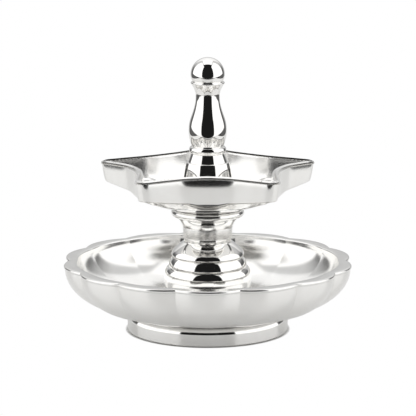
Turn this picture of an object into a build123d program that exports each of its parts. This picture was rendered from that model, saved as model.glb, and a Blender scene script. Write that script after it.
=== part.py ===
"""Five-flame aarti lamp in polished silver plate, standing in a petalled dish.

Millimetres, +Z up. The origin is the centre of the foot's underside, and the front is -Y.
From the table up: ring foot, petalled dish, three-tier pedestal, neck collar, lamp seat,
five-spout oil bowl, hub, bead ring, handle and ball. One tie rod clamps the stand. The lamp screws
down on the rod's upper end and the finial screws into the hub. Screw threads are plain cylinders.
"""

import os
from math import cos, radians, sin, sqrt

from build123d import *

os.makedirs("parts", exist_ok=True)

# Fits
screw_play = 0.05
slip_play = 0.3
corner_break = 0.4

# Foot: a turned ring that the dish is soldered to
foot_height = 10.6
foot_spread = 3.4
foot_width = 7.7
foot_shoulder_drop = 1.8
foot_neck_setback = 0.4
foot_toe_round = 0.6
foot_shoulder_round = 3.0
foot_cove_round = 0.6

# Dish: cast with petals around a round floor, and a flat rim with a bullnose edge
petal_count = 14
dish_height = 26.1
dish_floor = 2.4
dish_base_radius = 38.8
dish_wall_foot = 8.8
rim_cusp_radius = 74.0
rim_petal_bulge = 2.2
rim_width = 5.6
rim_inner_bulge = 0.6
flute_start = 0.15
rim_thickness = 1.8
rim_overhang = 0.6
rim_bullnose = 0.8
rim_cusp_round = 1.0
wall_sections = 6

# Pedestal: three spun cups, each standing on the top of the one below
cup_wall = 1.4
lower_height = 19.4
lower_radius = 23.0
lower_foot_radius = 19.6
lower_round = 4.0
lower_round_drop = 3.0
middle_height = 6.8
middle_radius = 21.0
middle_round = 6.5
middle_round_rise = 1.5
bell_height = 10.0
bell_base_radius = 19.2
bell_lip = 0.6
bell_bulge = 0.4
bell_band_radius = 12.4
bell_band_height = 2.4
bell_groove = 0.45

# Tie rod and the hardware that clamps the stand
rod_radius = 4.0
rod_pitch = 1.25
rod_turns = 7
rod_tail = 1.0
base_washer_radius = 12.0
base_washer_thickness = 1.6
lock_washer_radius = 7.0
lock_washer_thickness = 1.8
lock_washer_gap = 1.6
nut_across_flats = 13.0
nut_height = 4.0
stem_washer_thickness = 0.8

# Neck collar: a loose ring between the pedestal and the lamp
collar_height = 5.8
collar_foot_radius = 12.6
collar_top_radius = 13.1
collar_play = 1.1

# Lamp seat: the hollow-sided cove and bead that carry the oil bowl
seat_height = 9.2
seat_floor = 2.0
cove_height = 5.4
cove_top_radius = 17.3
cove_depth = 0.75
flange_radius = 19.1

# Oil bowl: a five-pointed star with one wick spout at each point
spout_count = 5
bowl_height = 23.4
bowl_wall = 2.0
bowl_base_radius = 17.6
spout_point_radius = 62.8
spout_round = 5.2
valley_point_radius = 37.0
valley_round = 42.0
spout_drop = 1.1
spout_depth = 10.1
wall_taper = 0.08
wall_curve = 3.0
bilge_radius = 36.0
bilge_rise = 5.9
spout_root_radius = 40.5
spout_root_rise = 9.4
rim_round = 0.8
bowl_sections = 6

# Hub and its seal
seal_setback = 1.1
seal_thickness = 1.0
hub_height = 26.3
hub_base_radius = 13.8
hub_barrel_height = 21.9
hub_barrel_radius = 11.2
hub_barrel_bulge = 0.55
hub_step = 0.8
hub_shoulder_round = 0.7
hub_top_radius = 8.7
spigot_radius = 7.0

# Finial: bead ring, handle and ball on one stud
stud_radius = 3.0
stud_pitch = 1.0
stud_turns = 9
socket_spare = 0.6
bead_height = 3.8
bead_radius = 9.7
handle_height = 33.8
handle_foot_radius = 8.2
handle_belly_radius = 9.9
handle_belly_height = 7.6
handle_shoulder_radius = 8.6
handle_shoulder_height = 15.4
handle_neck_radius = 6.2
handle_neck_height = 25.4
handle_neck_length = 1.2
cup_radius = 8.9
cup_edge_height = 1.6
ball_radius = 8.8
ball_seat_depth = 3.9
ball_socket_depth = 6.0

# Heights of the stack, each piece standing on the one below
dish_z = foot_height
floor_z = dish_z + dish_floor
rim_z = dish_z + dish_height
middle_z = floor_z + lower_height
bell_z = middle_z + middle_height
collar_z = bell_z + bell_height
seat_z = collar_z + collar_height
bowl_z = seat_z + seat_height
seal_z = bowl_z + bowl_wall
hub_z = seal_z + seal_thickness
bead_z = hub_z + hub_height
handle_z = bead_z + bead_height
ball_z = handle_z + handle_height
bowl_rim_z = bowl_z + bowl_height

foot_radius = dish_base_radius + foot_spread
foot_inner_radius = foot_radius - foot_width
foot_neck_radius = dish_base_radius - foot_neck_setback
foot_shoulder_z = foot_height - foot_shoulder_drop
dish_floor_radius = dish_base_radius - dish_wall_foot
rim_inner_radius = rim_cusp_radius - rim_width
nut_corner_radius = nut_across_flats / sqrt(3)
collar_bore_radius = nut_corner_radius + collar_play
screw_bore = rod_radius + screw_play
slip_bore = rod_radius + slip_play
stud_bore = stud_radius + screw_play
spigot_z = seat_z + seat_floor + screw_play
rod_top_z = spigot_z + rod_turns * rod_pitch + socket_spare
spout_step = 360 / spout_count
flank = Vector(
    spout_point_radius - valley_point_radius * cos(radians(spout_step / 2)),
    valley_point_radius * sin(radians(spout_step / 2)),
)
spout_half_angle = radians(flank.get_angle(Vector(1, 0)))
valley_half_angle = spout_half_angle + radians(spout_step / 2)


def polar(radius, angle):
    """The point at a radius and an angle in degrees from +X."""
    return (radius * cos(radians(angle)), radius * sin(radians(angle)))


def petal_outline(height, cusp_radius, crest_radius, cusp_round=0):
    """One level of the dish: an arc for each petal, from cusp to cusp over its crest."""
    step = 360 / petal_count
    with BuildSketch(Plane.XY.offset(height)) as outline:
        with BuildLine():
            for petal in range(petal_count):
                crest = petal * step - 90
                ThreePointArc(
                    polar(cusp_radius, crest - step / 2),
                    polar(crest_radius, crest),
                    polar(cusp_radius, crest + step / 2),
                )
        make_face()
        if cusp_round:
            fillet(outline.vertices(), cusp_round)
    return outline.sketch


def star_outline(height, scale, inset=0):
    """One level of the oil bowl: straight flanks that meet in rounded spouts and rounded valleys."""
    spout_point = (spout_point_radius - inset / sin(spout_half_angle)) * scale
    valley_point = (valley_point_radius - inset / sin(valley_half_angle)) * scale
    points = []
    for spout in range(spout_count):
        axis = 90 + spout * spout_step
        points.append(polar(spout_point, axis))
        points.append(polar(valley_point, axis + spout_step / 2))
    with BuildSketch(Plane.XY.offset(height)) as outline:
        with BuildLine():
            Polyline(*points, close=True)
        make_face()
        spouts = outline.vertices().sort_by_distance((0, 0, height))[spout_count:]
        fillet(spouts, (spout_round - inset) * scale)
        valleys = outline.vertices().sort_by_distance((0, 0, height))[:spout_count]
        fillet(valleys, (valley_round + inset) * scale)
    return outline.sketch


# Foot ring, turned with a rounded toe, a round shoulder and a small cove under the dish
with BuildPart() as foot_ring:
    with BuildSketch(Plane.XZ) as section:
        with BuildLine():
            Polyline(
                (foot_inner_radius, 0),
                (foot_radius, 0),
                (foot_radius, foot_shoulder_z),
                (foot_neck_radius, foot_shoulder_z),
                (foot_neck_radius, foot_height),
                (foot_inner_radius, foot_height),
                close=True,
            )
        make_face()
        neck, shoulder = section.vertices().group_by(Axis.Y)[1].sort_by(Axis.X)
        fillet(neck, foot_cove_round)
        fillet(shoulder, foot_shoulder_round)
        fillet(section.vertices().group_by(Axis.Y)[0].sort_by(Axis.X)[-1], foot_toe_round)
    revolve(axis=Axis.Z)
foot_ring.part.label = "foot_ring"
export_step(foot_ring.part, "parts/foot_ring.step")

# Dish: the outer wall follows a quarter ellipse and gathers its petals as it rises to the rim
wall_top_z = rim_z - rim_thickness
wall_cusp_radius = rim_cusp_radius - rim_overhang
outer_levels = []
inner_levels = []
for level in range(wall_sections):
    rise = 90 * level / (wall_sections - 1)
    out, up = sin(radians(rise)), 1 - cos(radians(rise))
    cusp = dish_base_radius + (wall_cusp_radius - dish_base_radius) * out
    outer_levels.append(
        petal_outline(
            dish_z + (wall_top_z - dish_z) * up,
            cusp,
            cusp + flute_start + (rim_petal_bulge - flute_start) * out**2,
        )
    )
    cusp = dish_floor_radius + (rim_inner_radius - dish_floor_radius) * out
    inner_levels.append(
        petal_outline(
            floor_z + (rim_z - floor_z) * up,
            cusp,
            cusp + flute_start + (rim_inner_bulge - flute_start) * out,
        )
    )
rim_outline = petal_outline(wall_top_z, rim_cusp_radius, rim_cusp_radius + rim_petal_bulge, rim_cusp_round)

with BuildPart() as dish:
    add(rim_outline)
    extrude(amount=rim_thickness)
    fillet(dish.edges().filter_by(GeomType.CIRCLE), rim_bullnose)
    loft(outer_levels)
    loft(inner_levels, mode=Mode.SUBTRACT)
    with BuildSketch(Plane.XY.offset(dish_z)):
        Circle(slip_bore)
    extrude(amount=dish_floor, mode=Mode.SUBTRACT)
dish.part.label = "dish"
export_step(dish.part, "parts/dish.step")


def ring(height, outer_radius, inner_radius, thickness):
    """A plain flat ring, such as a washer."""
    with BuildPart() as piece:
        with BuildSketch(Plane.XY.offset(height)):
            Circle(outer_radius)
            Circle(inner_radius, mode=Mode.SUBTRACT)
        extrude(amount=thickness)
    return piece.part


def nut(height):
    """A thin hexagon nut."""
    with BuildPart() as piece:
        with BuildSketch(Plane.XY.offset(height)):
            RegularPolygon(nut_across_flats / 2, 6, major_radius=False)
            Circle(screw_bore, mode=Mode.SUBTRACT)
        extrude(amount=nut_height)
    return piece.part


# Base hardware in the foot's hollow: washer, split lock washer and nut under the dish
base_washer_z = dish_z - base_washer_thickness
lock_washer_z = base_washer_z - lock_washer_thickness
base_nut_z = lock_washer_z - nut_height

base_washer = ring(base_washer_z, base_washer_radius, slip_bore, base_washer_thickness)
base_washer.label = "base_washer"
export_step(base_washer, "parts/base_washer.step")

with BuildPart() as lock_washer:
    with BuildSketch(Plane.XY.offset(lock_washer_z)):
        Circle(lock_washer_radius)
        Circle(slip_bore, mode=Mode.SUBTRACT)
        with Locations((0, -lock_washer_radius)):
            Rectangle(lock_washer_gap, 2 * lock_washer_radius, mode=Mode.SUBTRACT)
    extrude(amount=lock_washer_thickness)
lock_washer.part.label = "lock_washer"
export_step(lock_washer.part, "parts/lock_washer.step")

base_nut = nut(base_nut_z)
base_nut.label = "base_nut"
export_step(base_nut, "parts/base_nut.step")

# Tie rod, threaded at both ends: nut below, lamp above
with BuildPart() as tie_rod:
    with BuildSketch(Plane.XY.offset(base_nut_z - rod_tail)):
        Circle(rod_radius)
    extrude(amount=rod_top_z - base_nut_z + rod_tail)
    chamfer(tie_rod.faces().filter_by(Axis.Z).edges(), corner_break)
tie_rod.part.label = "tie_rod"
export_step(tie_rod.part, "parts/tie_rod.step")


def round_radius(widest, round_size, rise):
    """The radius of a bead's rounded side at a height above or below its widest level."""
    return widest - round_size + sqrt(round_size**2 - rise**2)


# Lower cup of the pedestal: full-bodied, with a tight round at the top
with BuildPart() as pedestal_lower_bead:
    for inset in (0, cup_wall):
        widest_z = middle_z - lower_round_drop
        round_size = lower_round - inset
        top_drop = lower_round_drop - inset
        with BuildSketch(Plane.XZ):
            with BuildLine():
                Line((slip_bore, floor_z), (lower_foot_radius - inset, floor_z))
                TangentArc(
                    (lower_radius - inset, widest_z),
                    (lower_foot_radius - inset, floor_z),
                    tangent=(0, -1),
                )
                TangentArc(
                    (lower_radius - inset, widest_z),
                    (round_radius(lower_radius - inset, round_size, top_drop), middle_z - inset),
                    tangent=(0, 1),
                )
                Line(
                    (round_radius(lower_radius - inset, round_size, top_drop), middle_z - inset),
                    (slip_bore, middle_z - inset),
                )
                Line((slip_bore, middle_z - inset), (slip_bore, floor_z))
            make_face()
        revolve(axis=Axis.Z, mode=Mode.SUBTRACT if inset else Mode.ADD)
pedestal_lower_bead.part.label = "pedestal_lower_bead"
export_step(pedestal_lower_bead.part, "parts/pedestal_lower_bead.step")

# Middle cup: a squat bead, widest near its foot
with BuildPart() as pedestal_middle_bead:
    for inset in (0, cup_wall):
        widest = middle_radius - inset
        round_size = middle_round - inset
        widest_z = middle_z + middle_round_rise
        foot = (round_radius(widest, round_size, middle_round_rise), middle_z)
        top = (round_radius(widest, round_size, bell_z - inset - widest_z), bell_z - inset)
        with BuildSketch(Plane.XZ):
            with BuildLine():
                Line((slip_bore, middle_z), foot)
                ThreePointArc(foot, (widest, widest_z), top)
                Polyline(top, (slip_bore, bell_z - inset), (slip_bore, middle_z))
            make_face()
        revolve(axis=Axis.Z, mode=Mode.SUBTRACT if inset else Mode.ADD)
pedestal_middle_bead.part.label = "pedestal_middle_bead"
export_step(pedestal_middle_bead.part, "parts/pedestal_middle_bead.step")

# Bell: a full cone above a short lip, then a groove and an upright band under the collar
band_z = collar_z - bell_band_height
cone_top_radius = bell_band_radius + bell_groove
lip_z = bell_z + bell_lip
with BuildPart() as pedestal_bell:
    with BuildSketch(Plane.XZ):
        with BuildLine():
            Polyline((slip_bore, bell_z), (bell_base_radius, bell_z), (bell_base_radius, lip_z))
            SagittaArc((bell_base_radius, lip_z), (cone_top_radius, band_z), -bell_bulge)
            Polyline(
                (cone_top_radius, band_z),
                (bell_band_radius - bell_groove, band_z),
                (bell_band_radius - bell_groove, band_z + bell_groove),
                (bell_band_radius, band_z + bell_groove),
                (bell_band_radius, collar_z),
                (slip_bore, collar_z),
                (slip_bore, bell_z),
            )
        make_face()
    revolve(axis=Axis.Z)
    with BuildSketch(Plane.XZ):
        with BuildLine():
            Polyline(
                (slip_bore, bell_z),
                (bell_base_radius - cup_wall, bell_z),
                (bell_base_radius - cup_wall, lip_z),
                (bell_band_radius - bell_groove - cup_wall, band_z - bell_groove),
                (bell_band_radius - bell_groove - cup_wall, collar_z - cup_wall),
                (slip_bore, collar_z - cup_wall),
                close=True,
            )
        make_face()
    revolve(axis=Axis.Z, mode=Mode.SUBTRACT)
pedestal_bell.part.label = "pedestal_bell"
export_step(pedestal_bell.part, "parts/pedestal_bell.step")

# Stem washer and nut that clamp the pedestal on the rod, hidden in the collar
stem_washer = ring(collar_z, nut_corner_radius, slip_bore, stem_washer_thickness)
stem_washer.label = "stem_washer"
export_step(stem_washer, "parts/stem_washer.step")

stem_nut = nut(collar_z + stem_washer_thickness)
stem_nut.label = "stem_nut"
export_step(stem_nut, "parts/stem_nut.step")

# Neck collar, a loose ring that tapers a little downwards
with BuildPart() as neck_collar:
    with BuildSketch(Plane.XZ) as section:
        with BuildLine():
            Polyline(
                (collar_bore_radius, collar_z),
                (collar_foot_radius, collar_z),
                (collar_top_radius, seat_z),
                (collar_bore_radius, seat_z),
                close=True,
            )
        make_face()
        fillet(section.vertices().sort_by(Axis.X)[-2:], corner_break)
    revolve(axis=Axis.Z)
neck_collar.part.label = "neck_collar"
export_step(neck_collar.part, "parts/neck_collar.step")

# Lamp seat: a hollow cove flaring to a round bead, bored for the hub's spigot and the rod
cove_z = seat_z + cove_height
with BuildPart() as lamp_seat:
    with BuildSketch(Plane.XZ):
        with BuildLine():
            Line((slip_bore, seat_z), (collar_top_radius, seat_z))
            SagittaArc((collar_top_radius, seat_z), (cove_top_radius, cove_z), cove_depth)
            ThreePointArc(
                (cove_top_radius, cove_z),
                (flange_radius, (cove_z + bowl_z) / 2),
                (bowl_base_radius, bowl_z),
            )
            Polyline(
                (bowl_base_radius, bowl_z),
                (spigot_radius + screw_play, bowl_z),
                (spigot_radius + screw_play, seat_z + seat_floor),
                (slip_bore, seat_z + seat_floor),
                (slip_bore, seat_z),
            )
        make_face()
    revolve(axis=Axis.Z)
lamp_seat.part.label = "lamp_seat"
export_step(lamp_seat.part, "parts/lamp_seat.step")

# Oil bowl: star levels that lean in towards the base, between a drooping rim above and a round bottom below,
# which steps up at its bilge to the undersides of the spouts
spout_radius = spout_point_radius - spout_round * (1 / sin(spout_half_angle) - 1)
valley_radius = valley_point_radius + valley_round * (1 / sin(valley_half_angle) - 1)
spout_under_z = bowl_rim_z - spout_drop - spout_depth
rim_fall = spout_drop / (spout_radius - valley_radius)
reach = spout_point_radius
spout_lift = (spout_under_z - bowl_z - spout_root_rise) / (spout_radius - spout_root_radius)
tip_rise = spout_root_rise + spout_lift * (reach - spout_root_radius)
bowl_top_z = bowl_rim_z + bowl_wall
rim_start_radius = hub_base_radius
rim_start_z = bowl_rim_z + rim_fall * (valley_radius - rim_start_radius)
rim_floor_z = bowl_rim_z - spout_drop - rim_round
valley_depth = bowl_top_z - bowl_z - bilge_rise
bowl_levels = []
well_levels = []
for level in range(bowl_sections):
    level_z = bowl_top_z - (bowl_top_z - bowl_z) * level / (bowl_sections - 1)
    scale = 1 - wall_taper * ((bowl_top_z - level_z) / valley_depth) ** wall_curve
    bowl_levels.append(star_outline(level_z, scale))
    well_levels.append(star_outline(level_z, scale, bowl_wall))

with BuildPart() as bowl_well:
    loft(well_levels)
    with BuildSketch(Plane.XZ):
        with BuildLine():
            Polyline(
                (0, seal_z),
                (bowl_base_radius, seal_z),
                (bilge_radius, seal_z + bilge_rise),
                (spout_root_radius, seal_z + spout_root_rise),
                (reach, seal_z + tip_rise),
                (reach, bowl_top_z),
                (0, bowl_top_z),
                close=True,
            )
        make_face()
    revolve(axis=Axis.Z, mode=Mode.INTERSECT)

with BuildPart() as lamp_bowl:
    loft(bowl_levels)
    with BuildSketch(Plane.XZ):
        with BuildLine():
            Polyline(
                (0, bowl_z),
                (bowl_base_radius, bowl_z),
                (bilge_radius, bowl_z + bilge_rise),
                (spout_root_radius, bowl_z + spout_root_rise),
                (reach, bowl_z + tip_rise),
                (reach, rim_start_z - rim_fall * (reach - rim_start_radius)),
                (rim_start_radius, rim_start_z),
                (0, rim_start_z),
                close=True,
            )
        make_face()
    revolve(axis=Axis.Z, mode=Mode.INTERSECT)
    add(bowl_well.part, mode=Mode.SUBTRACT)
    rim_edges = lamp_bowl.edges().filter_by(lambda e: e.bounding_box().min.Z > rim_floor_z)
    fillet(rim_edges, rim_round)
    with BuildSketch(Plane.XY.offset(bowl_z)):
        Circle(spigot_radius + slip_play)
    extrude(amount=bowl_wall, mode=Mode.SUBTRACT)
lamp_bowl.part.label = "lamp_bowl"
export_step(lamp_bowl.part, "parts/lamp_bowl.step")

# Seal ring that keeps the oil in, under the hub
seal_washer = ring(seal_z, hub_base_radius - seal_setback, spigot_radius + slip_play, seal_thickness)
seal_washer.label = "seal_washer"
export_step(seal_washer, "parts/seal_washer.step")

# Hub: a spigot through the bowl into the seat, a barrel with a round shoulder, and a cone
barrel_z = hub_z + hub_barrel_height
rod_socket_z = rod_top_z + socket_spare
stud_foot_z = bead_z - stud_turns * stud_pitch - socket_spare
with BuildPart() as hub:
    with BuildSketch(Plane.XZ) as section:
        with BuildLine():
            Polyline(
                (0, spigot_z),
                (spigot_radius, spigot_z),
                (spigot_radius, hub_z),
                (hub_base_radius, hub_z),
            )
            SagittaArc((hub_base_radius, hub_z), (hub_barrel_radius, barrel_z), -hub_barrel_bulge)
            Polyline(
                (hub_barrel_radius, barrel_z),
                (hub_barrel_radius - hub_step, barrel_z),
                (hub_top_radius, bead_z),
                (0, bead_z),
                (0, spigot_z),
            )
        make_face()
        fillet(section.vertices().group_by(Axis.Y)[-2].sort_by(Axis.X)[-1], hub_shoulder_round)
    revolve(axis=Axis.Z)
    with BuildSketch(Plane.XY.offset(spigot_z)):
        Circle(screw_bore)
    extrude(amount=rod_socket_z - spigot_z, mode=Mode.SUBTRACT)
    with BuildSketch(Plane.XY.offset(stud_foot_z - socket_spare)):
        Circle(stud_bore)
    extrude(amount=bead_z - stud_foot_z + socket_spare, mode=Mode.SUBTRACT)
hub.part.label = "hub"
export_step(hub.part, "parts/hub.step")

# Bead ring, loose on the stud between hub and handle
with BuildPart() as bead_ring:
    with BuildSketch(Plane.XZ):
        with BuildLine():
            Polyline(
                (hub_top_radius, bead_z),
                (stud_bore, bead_z),
                (stud_bore, handle_z),
                (hub_top_radius, handle_z),
            )
            ThreePointArc(
                (hub_top_radius, bead_z),
                (bead_radius, bead_z + bead_height / 2),
                (hub_top_radius, handle_z),
            )
        make_face()
    revolve(axis=Axis.Z)
bead_ring.part.label = "bead_ring"
export_step(bead_ring.part, "parts/bead_ring.step")

# Stud that holds the finial together and screws into the hub
with BuildPart() as finial_stud:
    with BuildSketch(Plane.XY.offset(stud_foot_z)):
        Circle(stud_radius)
    extrude(amount=ball_z + ball_socket_depth - socket_spare - stud_foot_z)
    chamfer(finial_stud.faces().filter_by(Axis.Z).edges(), corner_break)
finial_stud.part.label = "finial_stud"
export_step(finial_stud.part, "parts/finial_stud.step")

# Handle: a baluster belly, a long taper to the neck and a cup with a rolled edge under the ball
belly = (handle_belly_radius, handle_z + handle_belly_height)
shoulder = (handle_shoulder_radius, handle_z + handle_shoulder_height)
neck = (handle_neck_radius, handle_z + handle_neck_height)
neck_top = (handle_neck_radius, neck[1] + handle_neck_length)
cup_edge = (cup_radius, ball_z - cup_edge_height)
cup_top = (sqrt(ball_radius**2 - ball_seat_depth**2) + corner_break, ball_z)
with BuildPart() as handle:
    with BuildSketch(Plane.XZ):
        with BuildLine():
            Line((stud_bore, handle_z), (handle_foot_radius, handle_z))
            side = ThreePointArc((handle_foot_radius, handle_z), belly, shoulder)
            Spline(shoulder, neck, tangents=[side % 1, (0, 1)])
            Line(neck, neck_top)
            Spline(neck_top, cup_edge, tangents=[(0, 1), (0, 1)])
            TangentArc(cup_edge, cup_top, tangent=(0, 1))
            Polyline(cup_top, (stud_bore, ball_z), (stud_bore, handle_z))
        make_face()
    revolve(axis=Axis.Z)
handle.part.label = "handle"
export_step(handle.part, "parts/handle.step")

# Ball, flat where it sits on the cup and bored for the stud
with BuildPart() as ball_knob:
    with Locations((0, 0, ball_z + ball_seat_depth)):
        Sphere(ball_radius)
    split(bisect_by=Plane.XY.offset(ball_z), keep=Keep.TOP)
    with BuildSketch(Plane.XY.offset(ball_z)):
        Circle(stud_bore)
    extrude(amount=ball_socket_depth, mode=Mode.SUBTRACT)
ball_knob.part.label = "ball_knob"
export_step(ball_knob.part, "parts/ball_knob.step")
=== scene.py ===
from math import atan2, cos, hypot, pi, radians, sin, sqrt, tan

import bmesh
import bpy
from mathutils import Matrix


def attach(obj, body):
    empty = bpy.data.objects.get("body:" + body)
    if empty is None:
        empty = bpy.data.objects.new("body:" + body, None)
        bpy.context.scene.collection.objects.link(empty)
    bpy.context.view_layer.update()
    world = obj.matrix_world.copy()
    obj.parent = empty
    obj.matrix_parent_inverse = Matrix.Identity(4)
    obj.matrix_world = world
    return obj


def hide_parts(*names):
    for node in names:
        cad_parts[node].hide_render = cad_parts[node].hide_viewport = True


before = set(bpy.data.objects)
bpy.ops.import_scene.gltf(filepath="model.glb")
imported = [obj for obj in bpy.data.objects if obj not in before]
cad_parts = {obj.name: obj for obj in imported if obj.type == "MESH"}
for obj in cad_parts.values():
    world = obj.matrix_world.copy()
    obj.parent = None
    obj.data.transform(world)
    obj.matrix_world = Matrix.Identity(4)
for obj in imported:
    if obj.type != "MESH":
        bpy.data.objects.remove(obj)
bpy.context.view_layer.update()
bpy.context.scene.view_settings.view_transform = "Standard"

# Foot ring: turned from brass, silver-plated and polished, then soldered under the dish.
# It has a small rounded toe on the table, an upright face, a narrow leaning shoulder and a small cove.
mm = 0.001


class Wire:
    """An output in a node tree. Sums and products of wires add Math nodes."""

    def __init__(self, tree, socket=None):
        self.tree = tree
        self.socket = socket

    def node(self, kind, settings=None, inputs=None, output=0):
        made = self.tree.nodes.new("ShaderNode" + kind)
        for name, value in (settings or {}).items():
            if name == "stops":
                for stop, (place, colour) in zip(made.color_ramp.elements, value):
                    stop.position = place
                    stop.color = colour
            else:
                setattr(made, name, value)
        for name, value in (inputs or {}).items():
            if isinstance(value, Wire):
                self.tree.links.new(value.socket, made.inputs[name])
            else:
                made.inputs[name].default_value = value
        return Wire(self.tree, made.outputs[output])

    def maths(self, operation, first, second=0.0, third=0.0, clamp=False):
        settings = {"operation": operation, "use_clamp": clamp}
        return self.node("Math", settings, {0: first, 1: second, 2: third})

    def __add__(self, other):
        return self.maths("ADD", self, other)

    def __sub__(self, other):
        return self.maths("SUBTRACT", self, other)

    def __rsub__(self, other):
        return self.maths("SUBTRACT", other, self)

    def __mul__(self, other):
        return self.maths("MULTIPLY", self, other)

    def __neg__(self):
        return self.maths("MULTIPLY", self, -1.0)

    __radd__ = __add__
    __rmul__ = __mul__

    def magnitude(self):
        return self.maths("ABSOLUTE", self)

    def over(self, edge, softness):
        """0 below an edge, 1 above it, with a short soft step between."""
        return self.maths("MULTIPLY_ADD", self - edge, 1 / softness, 0.5, clamp=True)


def new_material(name):
    made = bpy.data.materials.new(name)
    made.use_nodes = True
    shader = made.node_tree.nodes["Principled BSDF"]
    return made, Wire(made.node_tree), shader


def plated(name, gloss, spread):
    """Silver plate: a warm white metal, hazed by wiping, with fine marks left by the polishing cloth."""
    made, wire, shader = new_material(name)
    place = wire.node("TexCoord", output=3)
    haze = wire.node("TexNoise", None, {"Vector": place, "Scale": 90.0, "Detail": 3.0, "Roughness": 0.6})
    wipe = wire.node("TexNoise", None, {"Vector": place, "Scale": 900.0, "Detail": 2.0})
    tint = wire.node(
        "ValToRGB",
        {"stops": ((0.3, (0.925, 0.915, 0.895, 1)), (0.7, (0.965, 0.96, 0.945, 1)))},
        {"Fac": haze},
    )
    polish = gloss + haze * spread + wipe * spread * 0.6
    ripple = wire.node("Bump", None, {"Strength": 0.015, "Distance": 0.0004, "Height": haze}, 0)
    shader.inputs["Metallic"].default_value = 1.0
    wire.tree.links.new(tint.socket, shader.inputs["Base Color"])
    wire.tree.links.new(polish.socket, shader.inputs["Roughness"])
    wire.tree.links.new(ripple.socket, shader.inputs["Normal"])
    return made


def rounded(corners, parts=7):
    """A section from corners (radius, height, rounding), each rounding laid in as an arc."""
    section = []
    for index, corner in enumerate(corners):
        r, z = corner[:2]
        if len(corner) == 2:
            section.append((r, z))
            continue
        before, after = corners[index - 1], corners[(index + 1) % len(corners)]
        back = atan2(before[1] - z, before[0] - r)
        on = atan2(after[1] - z, after[0] - r)
        half = ((on - back + pi) % (2 * pi) - pi) / 2
        reach = corner[2] / sin(abs(half))
        middle = back + half
        centre = (r + reach * cos(middle), z + reach * sin(middle))
        sweep = (pi / 2 - abs(half)) * (1 if half > 0 else -1)
        for part in range(parts + 1):
            angle = middle + pi + sweep * (1 - 2 * part / parts)
            section.append((centre[0] + corner[2] * cos(angle), centre[1] + corner[2] * sin(angle)))
    return section


def arc(start, through, end, parts):
    """Points of a section along the arc through three points."""
    (ax, ay), (bx, by), (cx, cy) = start, through, end
    d = 2 * (ax * (by - cy) + bx * (cy - ay) + cx * (ay - by))
    a, b, c = ax * ax + ay * ay, bx * bx + by * by, cx * cx + cy * cy
    x = (a * (by - cy) + b * (cy - ay) + c * (ay - by)) / d
    y = (a * (cx - bx) + b * (ax - cx) + c * (bx - ax)) / d
    first, last = atan2(ay - y, ax - x), atan2(cy - y, cx - x)
    sweep = (last - first) % (2 * pi)
    if (atan2(by - y, bx - x) - first) % (2 * pi) > sweep:
        sweep -= 2 * pi
    radius = hypot(ax - x, ay - y)
    angles = [first + sweep * part / parts for part in range(parts + 1)]
    return [(x + radius * cos(angle), y + radius * sin(angle)) for angle in angles]


def drawn(name, section):
    """One vertex drawn along a closed section, left in edit mode."""
    bpy.ops.object.select_all(action="DESELECT")
    bpy.ops.mesh.primitive_plane_add(size=mm, location=(section[0][0] * mm, 0, section[0][1] * mm))
    piece = bpy.context.object
    piece.name = name
    piece.data.name = name
    bpy.ops.object.transform_apply()
    bpy.ops.object.mode_set(mode="EDIT")
    bpy.ops.mesh.merge(type="CENTER")
    for (r, z), (next_r, next_z) in zip(section, section[1:] + section[:1]):
        step = ((next_r - r) * mm, 0, (next_z - z) * mm)
        bpy.ops.mesh.extrude_vertices_move(TRANSFORM_OT_translate={"value": step})
    bpy.ops.mesh.select_all(action="SELECT")
    bpy.ops.mesh.remove_doubles(threshold=0.002 * mm)
    return piece


def turned(name, section, steps=160):
    """A lathe piece: its section spun about the lamp's axis."""
    piece = drawn(name, section)
    bpy.ops.mesh.select_all(action="SELECT")
    bpy.ops.mesh.spin(steps=steps, angle=2 * pi, center=(0, 0, 0), axis=(0, 0, 1))
    bpy.ops.mesh.select_all(action="SELECT")
    bpy.ops.mesh.remove_doubles(threshold=0.002 * mm)
    bpy.ops.mesh.normals_make_consistent(inside=False)
    bpy.ops.object.mode_set(mode="OBJECT")
    return piece


def finished(piece, material, slot, body, *nodes, sharp=30):
    """Shades a piece, gives it its finish and puts it on its body in place of its CAD nodes."""
    bpy.ops.object.select_all(action="DESELECT")
    piece.select_set(True)
    bpy.context.view_layer.objects.active = piece
    bpy.ops.object.shade_smooth_by_angle(angle=radians(sharp))
    piece.data.materials.clear()
    piece.data.materials.append(material)
    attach(piece, body)
    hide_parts(*nodes)


foot_bore = 34.5
foot_radius = 42.2
foot_neck = 38.4
foot_height = 10.6
face_top = 6.25
shoulder_z = 8.8
toe_round = 0.6
shoulder_round = 0.7
foot_section = rounded(
    [
        (foot_bore, 0),
        (foot_radius, 0, toe_round),
        (foot_radius, face_top - 0.15),
        *arc((foot_radius, face_top), (42.0, 7.15), (41.64, 8.0), 4),
        (40.9, shoulder_z, shoulder_round),
        (foot_neck, shoulder_z, toe_round),
        (foot_neck, foot_height),
        (foot_bore, foot_height),
    ]
)
foot = turned("foot", foot_section, 192)
finished(foot, plated("foot_silver", 0.03, 0.05), "silver_plate", "stand", "foot_ring", sharp=6)

# Dish: cast in one piece with petals around a round floor, then plated and polished.
# A flat rim with a bullnose edge follows the petals, and their creases fade out down the wall.
petals = 14
petal_parts = 24
floor_z = 13.0
dish_rim_z = 36.7


def new_shell(name):
    """An empty piece in edit mode, ready for rings."""
    bpy.ops.object.select_all(action="DESELECT")
    bpy.ops.mesh.primitive_plane_add(size=mm)
    shell = bpy.context.object
    shell.name = name
    shell.data.name = name
    bpy.ops.object.mode_set(mode="EDIT")
    bpy.ops.mesh.delete(type="VERT")
    return shell


def keep_ring(shell):
    """Stores the ring that is in view as a group, and hides it."""
    bpy.ops.mesh.select_all(action="SELECT")
    bpy.ops.object.vertex_group_assign_new()
    bpy.ops.mesh.hide()
    return shell.vertex_groups.active.name


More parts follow.
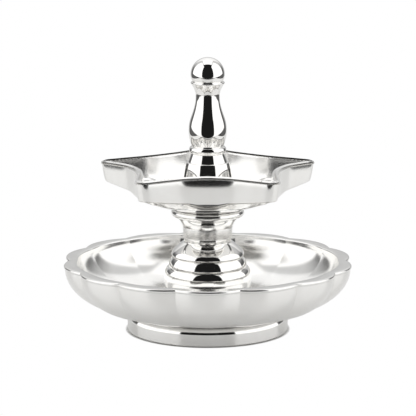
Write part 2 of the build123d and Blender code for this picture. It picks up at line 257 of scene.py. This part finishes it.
def pick_ring(shell, ring):
    bpy.ops.object.vertex_group_set_active(group=ring)
    bpy.ops.object.vertex_group_select()


def bridged(shell, rings):
    """Joins each ring to the next with a band of faces, and the last to the first."""
    bpy.ops.mesh.reveal(select=False)
    for ring, following in zip(rings, rings[1:] + rings[:1]):
        bpy.ops.mesh.select_all(action="DESELECT")
        pick_ring(shell, ring)
        pick_ring(shell, following)
        bpy.ops.mesh.bridge_edge_loops()
    bpy.ops.mesh.select_all(action="SELECT")
    bpy.ops.mesh.normals_make_consistent(inside=False)


def petal_ring(shell, cusp, crest, height):
    """One level of the dish: a circle whose cusps are drawn in, so that an arc is left between them."""
    bpy.ops.mesh.primitive_circle_add(
        vertices=petals * petal_parts, radius=crest * mm, location=(0, 0, height * mm)
    )
    if crest > cusp:
        bpy.ops.mesh.select_all(action="DESELECT")
        for v in bmesh.from_edit_mesh(shell.data).verts:
            turn = atan2(v.co.x, v.co.y) / (2 * pi) * petals
            if not v.hide and abs(turn % 1 - 0.5) < 0.5 / petal_parts:
                v.select_set(True)
        pull = cusp / crest
        bpy.ops.transform.resize(
            value=(pull, pull, 1),
            center_override=(0, 0, height * mm),
            use_proportional_edit=True,
            proportional_edit_falloff="SHARP",
            proportional_size=crest * mm * pi / petals,
        )
    return keep_ring(shell)


dish = new_shell("dish_petals")
rod_bore = 4.3
base_circle = 38.8
wall_cusp = 72.2
wall_top = 34.9
crease_depth = 3.25
crease_foot = 0.15
rim_cusp = 72.8
rim_crest = 76.2
bullnose_z = 35.8
bullnose_height = 0.9
bullnose_width = 0.85
inner_edge = 68.4
floor_radius = 30
levels = [
    (rod_bore, rod_bore, foot_height + 0.03),
    (20, 20, foot_height + 0.02),
    (34, 34, foot_height + 0.01),
]
wall_parts = 22
for part in range(wall_parts + 1):
    angle = pi / 2 * part / wall_parts
    cusp = base_circle + (wall_cusp - base_circle) * sin(angle)
    crest = cusp + crease_foot + crease_depth * sin(angle) ** 1.3
    levels.append((cusp, crest, foot_height + (wall_top - foot_height) * (1 - cos(angle))))
for part in range(13):
    angle = pi * part / 12 - pi / 2
    out = bullnose_width * (cos(angle) - 1)
    levels.append((rim_cusp + out, rim_crest + out, bullnose_z + bullnose_height * sin(angle)))
levels += [(70.9, 73.5, dish_rim_z - 0.01), (69.8, 71.3, dish_rim_z - 0.02)]
edge_round = 0.6
for part in range(5):
    angle = pi / 2 * part / 4
    drop = 0.03 + edge_round * (1 - cos(angle))
    edge_in = inner_edge + 0.5 - edge_round * sin(angle)
    levels.append((edge_in, edge_in + edge_round, dish_rim_z - drop))
for part in range(1, wall_parts + 1):
    angle = pi / 2 * (1 - part / wall_parts)
    cusp = floor_radius + (inner_edge - floor_radius) * sin(angle)
    height = floor_z + (dish_rim_z - floor_z) * (1 - cos(angle))
    if height < dish_rim_z - edge_round - 0.2:
        levels.append((cusp, cusp + crease_foot + 0.45 * sin(angle), height))
levels += [(24, 24, floor_z - 0.01), (12, 12, floor_z - 0.02), (rod_bore, rod_bore, floor_z - 0.03)]
bridged(dish, [petal_ring(dish, *level) for level in levels])
bpy.ops.mesh.select_all(action="DESELECT")
for line in bmesh.from_edit_mesh(dish.data).edges:
    turns = [atan2(v.co.x, v.co.y) / (2 * pi) * petals % 1 for v in line.verts]
    tall = min(v.co.z for v in line.verts) > 17 * mm and max(v.co.z for v in line.verts) < dish_rim_z * mm
    outer = min(v.co.xy.length - 40 * mm - (v.co.z - 10 * mm) * 0.9 for v in line.verts) > 0
    if tall and outer and max(abs(turn - 0.5) for turn in turns) < 0.3 / petal_parts:
        line.select_set(True)
bpy.ops.mesh.mark_sharp()
bpy.ops.object.vertex_group_remove(all=True)
bpy.ops.object.mode_set(mode="OBJECT")
finished(dish, plated("dish_silver", 0.11, 0.08), "silver_plate", "stand", "dish", sharp=25)

# Hardware in the foot's hollow and inside the stem: washers, a split lock washer, hexagon nuts and the
# long threaded rod that clamps the stand. Bright machined steel with broken edges, never plated.
steel, wire, shader = new_material("bright_steel")
place = wire.node("TexCoord", output=3)
grain = wire.node("TexNoise", None, {"Vector": place, "Scale": 1400.0, "Detail": 2.0})
mottle = wire.node("TexNoise", None, {"Vector": place, "Scale": 160.0, "Detail": 4.0})
tint = wire.node(
    "ValToRGB",
    {"stops": ((0.3, (0.42, 0.42, 0.43, 1)), (0.7, (0.6, 0.6, 0.61, 1)))},
    {"Fac": mottle},
)
brushed = 0.22 + grain * 0.16
scratch = wire.node("Bump", None, {"Strength": 0.08, "Distance": 0.0002, "Height": grain})
shader.inputs["Metallic"].default_value = 1.0
wire.tree.links.new(tint.socket, shader.inputs["Base Color"])
wire.tree.links.new(brushed.socket, shader.inputs["Roughness"])
wire.tree.links.new(scratch.socket, shader.inputs["Normal"])
for name in ("base_washer", "lock_washer", "base_nut", "stem_washer", "stem_nut"):
    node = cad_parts[name]
    node.data.materials.clear()
    node.data.materials.append(steel)
    broken_edge = node.modifiers.new("broken_edge", "BEVEL")
    broken_edge.width = 0.25 * mm
    broken_edge.segments = 2
    broken_edge.angle_limit = radians(40)


def threaded(name, radius, pitch, bottom, top):
    """Threaded rod: a plain core with chamfered ends, and one rib wound round it from end to end."""
    root = radius - 0.61 * pitch
    core = turned(
        name,
        [
            (0.001, bottom),
            (root - 0.4, bottom),
            (root, bottom + 0.4),
            (root, top - 0.4),
            (root - 0.4, top),
            (0.001, top),
        ],
        48,
    )
    foot_of_rib = bottom + 0.5
    rib = drawn(
        name + "_rib",
        [
            (root - 0.15, foot_of_rib),
            (radius, foot_of_rib + 0.44 * pitch),
            (radius, foot_of_rib + 0.56 * pitch),
            (root - 0.15, foot_of_rib + pitch),
        ],
    )
    bpy.ops.object.mode_set(mode="OBJECT")
    winding = rib.modifiers.new("winding", "SCREW")
    winding.axis = "Z"
    winding.screw_offset = pitch * mm
    winding.iterations = int((top - foot_of_rib - pitch) / pitch)
    winding.steps = 36
    winding.render_steps = 36
    bpy.ops.object.modifier_apply(modifier=winding.name)
    bpy.ops.object.mode_set(mode="EDIT")
    bpy.ops.mesh.select_all(action="SELECT")
    bpy.ops.mesh.remove_doubles(threshold=0.002 * mm)
    bpy.ops.mesh.select_all(action="DESELECT")
    bpy.ops.mesh.select_non_manifold()
    bpy.ops.mesh.fill()
    bpy.ops.mesh.select_all(action="SELECT")
    bpy.ops.mesh.normals_make_consistent(inside=False)
    bpy.ops.object.mode_set(mode="OBJECT")
    core.select_set(True)
    bpy.context.view_layer.objects.active = core
    bpy.ops.object.join()
    return core


rod = threaded("threaded_rod", 4.0, 1.25, 2.2, 66.4)
finished(rod, steel, "steel_hardware", "stand", "tie_rod")

# Pedestal: three spun cups of plated brass, each standing on the top of the one below.
# The lower one is full-bodied, the middle one is a squat bead and the top one a bell with a grooved band.
middle_z = 33.2
bell_z = 39.2
collar_z = 49.2
lower = turned(
    "pedestal_lower",
    arc((19.6, floor_z), (22.1, 20.4), (23, 27), 16)
    + arc((23, 27), (22.93, 28.5), (22.8, 29.9), 6)[1:]
    + arc((22.8, 29.9), (22.2, 31.8), (21.3, middle_z), 10)[1:]
    + [(12, middle_z), (rod_bore, middle_z), (rod_bore, 31), (19.6, 31), (21.4, 27.6), (18.2, floor_z)],
)
silver = plated("mirror_silver", 0.03, 0.03)
finished(lower, silver, "silver_plate", "stand", "pedestal_lower_bead")
middle = turned(
    "pedestal_middle",
    arc((20.5, middle_z), (19.9, 36.4), (18.32, bell_z), 24)
    + [(rod_bore, bell_z), (rod_bore, 37.8), (17, 37.8), (19.5, 34), (19.4, middle_z)],
)
finished(middle, silver, "silver_plate", "stand", "pedestal_middle_bead")
bell = turned(
    "pedestal_bell_cone",
    [(19.1, bell_z), (19.2, bell_z + 0.1)]
    + arc((19.2, 39.8), (18.75, 41.3), (17.9, 42.5), 10)
    + arc((17.9, 42.5), (15.5, 44.75), (12.85, 46.8), 14)[1:]
    + [(11.95, 46.8), (11.95, 47.25), (12.4, 47.25), (12.4, collar_z)]
    + [(rod_bore, collar_z), (rod_bore, 47.8), (10.5, 47.8), (10.5, 46.35), (17.8, 39.8), (17.8, bell_z)],
)
finished(bell, silver, "silver_plate", "stand", "pedestal_bell")

# Neck collar: a loose ring of plated brass on the bell that hides the clamping nut.
# It is turned with a slight taper and softened edges, and the seat above just clears it.
seat_z = 55.0
collar_top = seat_z - 0.03
collar_section = [(8.6, collar_z), (12.6, collar_z, 0.4), (13.1, collar_top, 0.4), (8.6, collar_top)]
collar = turned("collar", rounded(collar_section))
finished(collar, plated("collar_silver", 0.18, 0.08), "silver_plate", "collar", "neck_collar")

# Lamp seat: a turned cove of plated brass that flares to a round bead under the bowl.
# It is bored for the hub's spigot, which clamps the bowl down on it, and is polished by hand.
bowl_z = 64.2
seat = turned(
    "seat",
    arc((13.1, seat_z), (14.61, 58.16), (17.3, 60.4), 20)
    + arc((17.3, 60.4), (19.1, 62.3), (17.6, bowl_z), 18)[1:]
    + [(7.05, bowl_z), (7.05, 57), (rod_bore, 57), (rod_bore, seat_z)],
)
finished(seat, plated("hand_polished_silver", 0.07, 0.07), "silver_plate", "lamp", "lamp_seat")

# Oil bowl: a cast five-pointed star with a wick spout at each point. Its flanks run straight between rounded
# spouts and wide round valleys, the wall leans in towards the base and the lip is rounded over. The round
# bottom steps up at its bilge to the spouts. Polished outside, and left satin where the oil stands.
spouts = 5
spout_point = 62.8
spout_round = 5.2
valley_point = 37.0
valley_round = 42.0
bowl_wall = 2.0
lip_width = 2.8
bowl_rim_z = 87.6
valley_radius = 39.85
spout_radius = 58.58
spout_drop = 1.1
base_radius = 17.6
bilge_radius = 36
bilge_rise = 5.9
root_radius = 40.5
root_rise = 9.4
tip_rise = 2.8
wall_height = 19.5
spigot_hole = 7.2
flank = atan2(valley_point * sin(pi / spouts), spout_point - valley_point * cos(pi / spouts))


def star_ring(shell, inset, place):
    """One level of the bowl: a ten-sided star with its points and valleys rounded, then set out by radius."""
    point = (spout_point - inset / sin(flank)) * mm
    valley = (valley_point - inset / sin(flank + pi / spouts)) * mm
    nose = (spout_round - inset) / tan(flank) * mm
    hollow = (valley_round + inset) / tan(flank + pi / spouts) * mm
    bpy.ops.mesh.primitive_circle_add(vertices=2 * spouts, radius=point)
    for inner in (True, False):
        level = bmesh.from_edit_mesh(shell.data)
        bpy.ops.mesh.select_all(action="DESELECT")
        for v in level.verts:
            turn = atan2(v.co.x, v.co.y) / (2 * pi) * spouts
            between_spouts = abs(turn % 1 - 0.5) < 0.01
            at_spout = abs((turn + 0.5) % 1 - 0.5) < 0.01
            if not v.hide and (between_spouts if inner else at_spout):
                v.select_set(True)
        if inner:
            pull = valley / point
            bpy.ops.transform.resize(value=(pull, pull, 1), center_override=(0, 0, 0))
        bpy.ops.mesh.bevel(
            offset=hollow if inner else nose,
            segments=26 if inner else 17,
            affect="VERTICES",
            clamp_overlap=False,
        )
    bpy.ops.mesh.select_all(action="DESELECT")
    for edge in bmesh.from_edit_mesh(shell.data).edges:
        if not edge.hide and edge.calc_length() > 5 * mm:
            edge.select_set(True)
    bpy.ops.mesh.subdivide(number_cuts=7)
    for v in bmesh.from_edit_mesh(shell.data).verts:
        if not v.hide:
            radius = v.co.xy.length / mm
            new_radius, height = place(radius)
            v.co = (v.co.x * new_radius / radius, v.co.y * new_radius / radius, height * mm)
    bmesh.update_edit_mesh(shell.data)
    return keep_ring(shell)


def rim_height(r):
    return bowl_rim_z - (r - valley_radius) * spout_drop / (spout_radius - valley_radius)


def under_height(r):
    """The underside: a shallow cone, a step at the bilge, then the spouts' undersides."""
    if r < bilge_radius:
        return bowl_z + max(r - base_radius, 0) * bilge_rise / (bilge_radius - base_radius)
    if r < root_radius:
        t = (r - bilge_radius) / (root_radius - bilge_radius)
        return bowl_z + bilge_rise + (root_rise - bilge_rise) * (0.6 * t + 0.4 * t * t * (3 - 2 * t))
    return bowl_z + root_rise + (r - root_radius) * tip_rise / (spout_radius - root_radius)


def wall_place(share, thickness):
    """Where the wall stands, from the rim at 0 to the underside at 1."""

    def place(r):
        height = rim_height(r + thickness)
        for turn in range(6):
            depth = (bowl_rim_z + bowl_wall - height) / wall_height
            lean = 1 - 0.03 * depth - 0.055 * depth**3
            rim = rim_height(r + thickness)
            height = rim + (under_height(r * lean) + thickness - rim) * share
        return r * lean - 3 * thickness * (1 - sqrt(1 - share**2)), height

    return place


def floor_place(share, thickness):
    """The bottom, from the wall's foot at 0 to the base circle at 1."""
    foot_of = wall_place(1, thickness)

    def place(r):
        inside = base_radius + (foot_of(r)[0] - base_radius) * (1 - share)
        return inside, under_height(inside) + thickness

    return place


bowl = new_shell("star_bowl")
hole = [star_ring(bowl, 0, lambda r: (spigot_hole, bowl_z + 0.01))]
floor_shares = [part / 11 for part in range(11, 0, -1)]
wall_shares = [part / 12 for part in range(12, -1, -1)]
outside = [star_ring(bowl, 0, floor_place(share, 0)) for share in floor_shares]
outside += [star_ring(bowl, 0, wall_place(share, 0)) for share in wall_shares]
inside = [star_ring(bowl, lip_width, wall_place(share, bowl_wall)) for share in reversed(wall_shares)]
inside += [star_ring(bowl, lip_width, floor_place(share, bowl_wall)) for share in reversed(floor_shares)]
top_of_hole = [star_ring(bowl, lip_width, lambda r: (spigot_hole, bowl_z + bowl_wall - 0.01))]
bridged(bowl, hole + outside + inside + top_of_hole)
for ring, rounding, parts in (
    (outside[-1], 1.3, 7),
    (inside[0], 1.3, 7),
    (outside[len(floor_shares)], 0.6, 3),
    (inside[len(wall_shares) - 1], 2.0, 5),
):
    bpy.ops.mesh.select_all(action="DESELECT")
    pick_ring(bowl, ring)
    bpy.ops.mesh.bevel(offset=rounding * mm, segments=parts, affect="EDGES")
bpy.ops.object.vertex_group_remove(all=True)
bpy.ops.object.mode_set(mode="OBJECT")
finished(bowl, plated("cast_silver", 0.05, 0.05), "silver_plate", "lamp", "lamp_bowl", sharp=35)
bowl.data.materials.append(plated("satin_silver", 0.2, 0.05))
for face in bowl.data.polygons:
    if face.normal.z > 0.5 or face.normal.xy.dot(face.center.xy) < 0:
        face.material_index = 1

# Seal: a moulded ring of black rubber that lies on the bowl's floor.
# The hub squeezes it, and it keeps the oil from running down the spigot.
rubber, wire, shader = new_material("seal_rubber")
place = wire.node("TexCoord", output=3)
bloom = wire.node("TexNoise", None, {"Vector": place, "Scale": 500.0, "Detail": 4.0})
tint = wire.node(
    "ValToRGB",
    {"stops": ((0.3, (0.02, 0.02, 0.02, 1)), (0.75, (0.06, 0.06, 0.058, 1)))},
    {"Fac": bloom},
)
dull = 0.55 + bloom * 0.3
wire.tree.links.new(tint.socket, shader.inputs["Base Color"])
wire.tree.links.new(dull.socket, shader.inputs["Roughness"])
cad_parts["seal_washer"].data.materials.clear()
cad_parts["seal_washer"].data.materials.append(rubber)

# Hub: a barrel turned from the solid, with a round shoulder and a cone above it. Its spigot goes through the
# bowl into the seat, the rod screws into it from below and the finial's stud from above.
hub_z = 67.2
bead_z = 93.5
stud_bore = 3.05
barrel = arc((13.8, hub_z), (13.05, 78.1), (11.2, 89.1), 20)
hub = turned(
    "hub_barrel",
    barrel[:-1]
    + rounded([barrel[-2], (11.2, 89.1, 0.7), (10.4, 89.1)])[1:]
    + [(8.7, bead_z), (stud_bore, bead_z), (stud_bore, 83.3), (0.001, 83.3), (0.001, 67)]
    + [(4.05, 67), (4.05, 57.05), (7, 57.05), (7, hub_z)],
)
finished(hub, silver, "silver_plate", "lamp", "hub")

# Bead ring: a loose half-round ring of plated brass between the hub and the handle.
# It is turned and mirror-polished, and the stud runs through it.
handle_z = 97.3
bead = turned(
    "bead",
    arc((8.7, bead_z), (9.7, (bead_z + handle_z) / 2), (8.7, handle_z), 18)
    + [(stud_bore, handle_z), (stud_bore, bead_z)],
)
finished(bead, silver, "silver_plate", "bead", "bead_ring")

# Handle: a turned baluster of plated brass, with a cup on top that the ball sits in.
# It is drilled through for the threaded steel stud that holds the finial together and screws into the hub.
ball_z = 131.1


def curve(start, end, start_slope, end_slope, parts):
    """Points of a section along a smooth curve that leaves and arrives with the given slopes."""
    points = []
    for part in range(parts + 1):
        t = part / parts
        weights = (2 * t**3 - 3 * t**2 + 1, t**3 - 2 * t**2 + t, 3 * t**2 - 2 * t**3, t**3 - t**2)
        pulls = (start, start_slope, end, end_slope)
        points.append(tuple(sum(w * pull[i] for w, pull in zip(weights, pulls)) for i in (0, 1)))
    return points


belly = arc((8.2, handle_z), (9.9, handle_z + 7.6), (8.6, handle_z + 15.4), 24)
run = (belly[-1][0] - belly[-2][0], belly[-1][1] - belly[-2][1])
stretch = 10 / hypot(*run)
shoulder_slope = (run[0] * stretch, run[1] * stretch)
ball_radius = 8.8
ball_seat = 3.9
cup_top = sqrt(ball_radius**2 - ball_seat**2) + 0.4
cup_edge = (8.75, ball_z - 0.9)
neck = (6.2, handle_z + 25.4)
neck_top = (6.2, handle_z + 26.6)
lip_middle = (8.8, ball_z - 0.35)
handle = turned(
    "handle_baluster",
    belly
    + curve(belly[-1], neck, shoulder_slope, (0, 10), 18)[1:]
    + curve(neck_top, cup_edge, (0, 6.5), (3.2, 3.6), 14)
    + arc(cup_edge, lip_middle, (cup_top, ball_z), 6)[1:]
    + [(stud_bore, ball_z), (stud_bore, handle_z)],
)
finished(handle, silver, "silver_plate", "finial", "handle")
stud = threaded("threaded_stud", 3.0, 1.0, 83.9, 136.5)
finished(stud, steel, "steel_hardware", "finial", "finial_stud")

# Ball: turned from solid brass, plated and mirror-polished.
# It is flat where it sits in the cup, and tapped for the stud.
ball_middle = ball_z + ball_seat
flat_radius = sqrt(ball_radius**2 - ball_seat**2)
ball = turned(
    "ball",
    arc((flat_radius, ball_z), (ball_radius, ball_middle), (0.001, ball_middle + ball_radius), 40)
    + [(0.001, ball_z + 6), (stud_bore, ball_z + 6), (stud_bore, ball_z)],
)
finished(ball, silver, "silver_plate", "finial", "ball_knob")

# Studio: a glossy white table with soft boxes left and right, a white panel overhead and a grey wall behind.
# The room is dark on the camera's side, between the soft boxes and beyond the table's edge. The camera sees
# the table as plain white, apart from the contact shadow round the foot.
bpy.ops.object.select_all(action="DESELECT")
bpy.ops.mesh.primitive_plane_add(size=1, location=(0, 0.28, -0.0002))
table = bpy.context.object
table.name = "table"
table.scale = (0.7, 1.04, 1)
bpy.ops.object.transform_apply()
white_table, wire, shader = new_material("white_table")
seen = wire.node("LightPath", output=0)
mirrored = wire.node("LightPath", output=3)
shader.inputs["Base Color"].default_value = (0.88, 0.88, 0.865, 1)
shader.inputs["Roughness"].default_value = 0.34
shader.inputs["IOR"].default_value = 2.4
glow = wire.node("Emission", None, {"Color": (1, 1, 1, 1), "Strength": 1.0})
lit = Wire(wire.tree, shader.outputs[0])
spot = wire.node("VectorMath", {"operation": "LENGTH"}, {0: wire.node("TexCoord", output=3)}, 1)
plain = (seen + mirrored * 0.25) * (0.05 + spot.over(0.0431, 0.001) * 0.95)
surface = wire.node("MixShader", None, {0: plain, 1: lit, 2: glow})
wire.tree.links.new(surface.socket, white_table.node_tree.nodes["Material Output"].inputs[0])
table.data.materials.append(white_table)

world = bpy.data.worlds.new("studio")
world.use_nodes = True
bpy.context.scene.world = world
wire = Wire(world.node_tree)
direction = wire.node("TexCoord", output=0)
parts = world.node_tree.nodes.new("ShaderNodeSeparateXYZ")
world.node_tree.links.new(direction.socket, parts.inputs[0])
aside = Wire(world.node_tree, parts.outputs[0]).magnitude()
ahead = -Wire(world.node_tree, parts.outputs[1])
up = Wire(world.node_tree, parts.outputs[2])
edge = 0.04
below = wire.maths("MULTIPLY_ADD", up, -5.0, -0.95, clamp=True)
spread = wire.maths("SQRT", 1 - below * below) * 0.83
side_boxes = (aside - ahead * spread).over(0, edge) * (aside - up * 0.47).over(0, edge)
side_boxes = side_boxes * (ahead + aside * 0.577).over(0, edge) * (up + ahead * 0.24).over(-0.155, edge)
overhead = (up * 0.42 - aside).over(0, edge) * (up * 0.23 - ahead).over(0, edge) * (ahead + up).over(0, 0.7)
behind = (-ahead - aside * 1.43).over(0, edge)
bright = wire.maths("MAXIMUM", side_boxes, overhead)
rear = (-ahead).over(-0.1, 0.1)
dim = rear * (up.over(0.36, 0.4) * 0.5 + 0.1) + behind * 0.38
studio = wire.maths("MAXIMUM", bright * 1.2, dim + 0.012)
shown = wire.node("LightPath", output=0)
strength = studio + shown * (1 - studio)
background = world.node_tree.nodes["Background"]
background.inputs["Color"].default_value = (1, 1, 1, 1)
world.node_tree.links.new(strength.socket, background.inputs["Strength"])

# Camera at the photograph's place: straight in front and a little above the lamp,
# far off with a long lens, so that the ellipses of dish and foot open as they do there.
camera_distance = 1.25
camera_height = 0.3047
aim_height = 0.0644
picture_width = 416
focal_pixels = 2433
pitch = atan2(camera_height - aim_height, camera_distance)
bpy.ops.object.camera_add(location=(0, -camera_distance, camera_height), rotation=(pi / 2 - pitch, 0, 0))
camera = bpy.context.object
camera.data.sensor_width = 36
camera.data.lens = 36 * focal_pixels / picture_width
camera.data.shift_x = 0.3 / picture_width
bpy.context.scene.camera = camera
